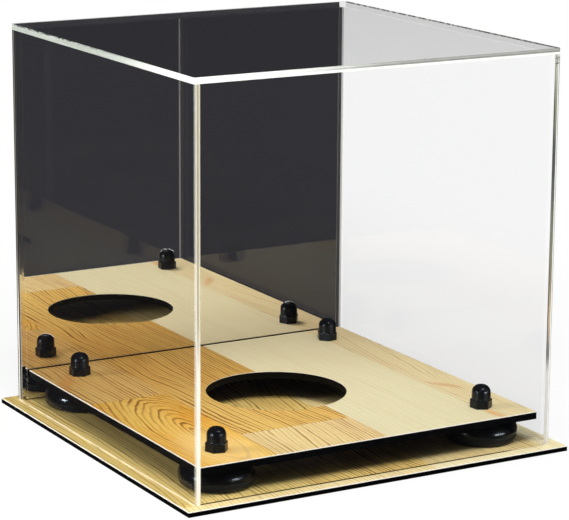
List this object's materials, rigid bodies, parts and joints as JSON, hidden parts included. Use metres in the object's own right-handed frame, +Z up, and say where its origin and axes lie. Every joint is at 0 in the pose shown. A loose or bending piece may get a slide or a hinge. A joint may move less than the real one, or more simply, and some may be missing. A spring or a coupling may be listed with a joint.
{
  "type": "display case",
  "caption": "Clear cubic display case for a bowling ball: lift-off cover with a mirrored back wall, flat base board and a footed riser board with a round seat hole.",
  "frame": {"origin": "centre of the base board's underside, on the surface that the case stands on", "axes": "+Z up, the clear front wall faces -Y, the mirrored back wall is at +Y, +X is to the right seen from the front"},
  "size_m": [0.271, 0.271, 0.2572],
  "materials": {
    "black_core": "gloss",
    "wood_print": "satin",
    "clear_acrylic": "polished",
    "mirror_acrylic": "polished",
    "foot_rubber": "satin",
    "washer_steel": "satin",
    "screw_steel": "satin",
    "nut_steel": "satin",
    "cap_plastic": "satin"
  },
  "bodies": {
    "base": {"base_board": "black_core", "base_laminate": "wood_print"},
    "cover": {"top_panel": "clear_acrylic", "front_panel": "clear_acrylic", "left_panel": "clear_acrylic", "right_panel": "clear_acrylic", "mirror_panel": "mirror_acrylic"},
    "riser": {"deck_board": "black_core", "deck_laminate": "wood_print", "foot_front_left": "foot_rubber", "foot_washer_front_left": "washer_steel", "foot_screw_front_left": "screw_steel", "hex_nut_front_left": "nut_steel", "foot_front_right": "foot_rubber", "foot_washer_front_right": "washer_steel", "foot_screw_front_right": "screw_steel", "hex_nut_front_right": "nut_steel", "foot_rear_left": "foot_rubber", "foot_washer_rear_left": "washer_steel", "foot_screw_rear_left": "screw_steel", "hex_nut_rear_left": "nut_steel", "foot_rear_right": "foot_rubber", "foot_washer_rear_right": "washer_steel", "foot_screw_rear_right": "screw_steel", "hex_nut_rear_right": "nut_steel"},
    "cap_front_left": {"nut_cap_front_left": "cap_plastic"},
    "cap_front_right": {"nut_cap_front_right": "cap_plastic"},
    "cap_rear_left": {"nut_cap_rear_left": "cap_plastic"},
    "cap_rear_right": {"nut_cap_rear_right": "cap_plastic"}
  },
  "joints": [
    {"name": "cover_lift", "type": "slide", "parent": "base", "child": "cover", "axis": [0, 0, 1], "range_m": [0, 0.27]},
    {"name": "riser_lift", "type": "slide", "parent": "base", "child": "riser", "axis": [0, 0, 1], "range_m": [0, 0.18]},
    {"name": "cap_pull_front_left", "type": "slide", "parent": "riser", "child": "cap_front_left", "axis": [0, 0, 1], "range_m": [0, 0.02]},
    {"name": "cap_pull_front_right", "type": "slide", "parent": "riser", "child": "cap_front_right", "axis": [0, 0, 1], "range_m": [0, 0.02]},
    {"name": "cap_pull_rear_left", "type": "slide", "parent": "riser", "child": "cap_rear_left", "axis": [0, 0, 1], "range_m": [0, 0.02]},
    {"name": "cap_pull_rear_right", "type": "slide", "parent": "riser", "child": "cap_rear_right", "axis": [0, 0, 1], "range_m": [0, 0.02]}
  ]
}
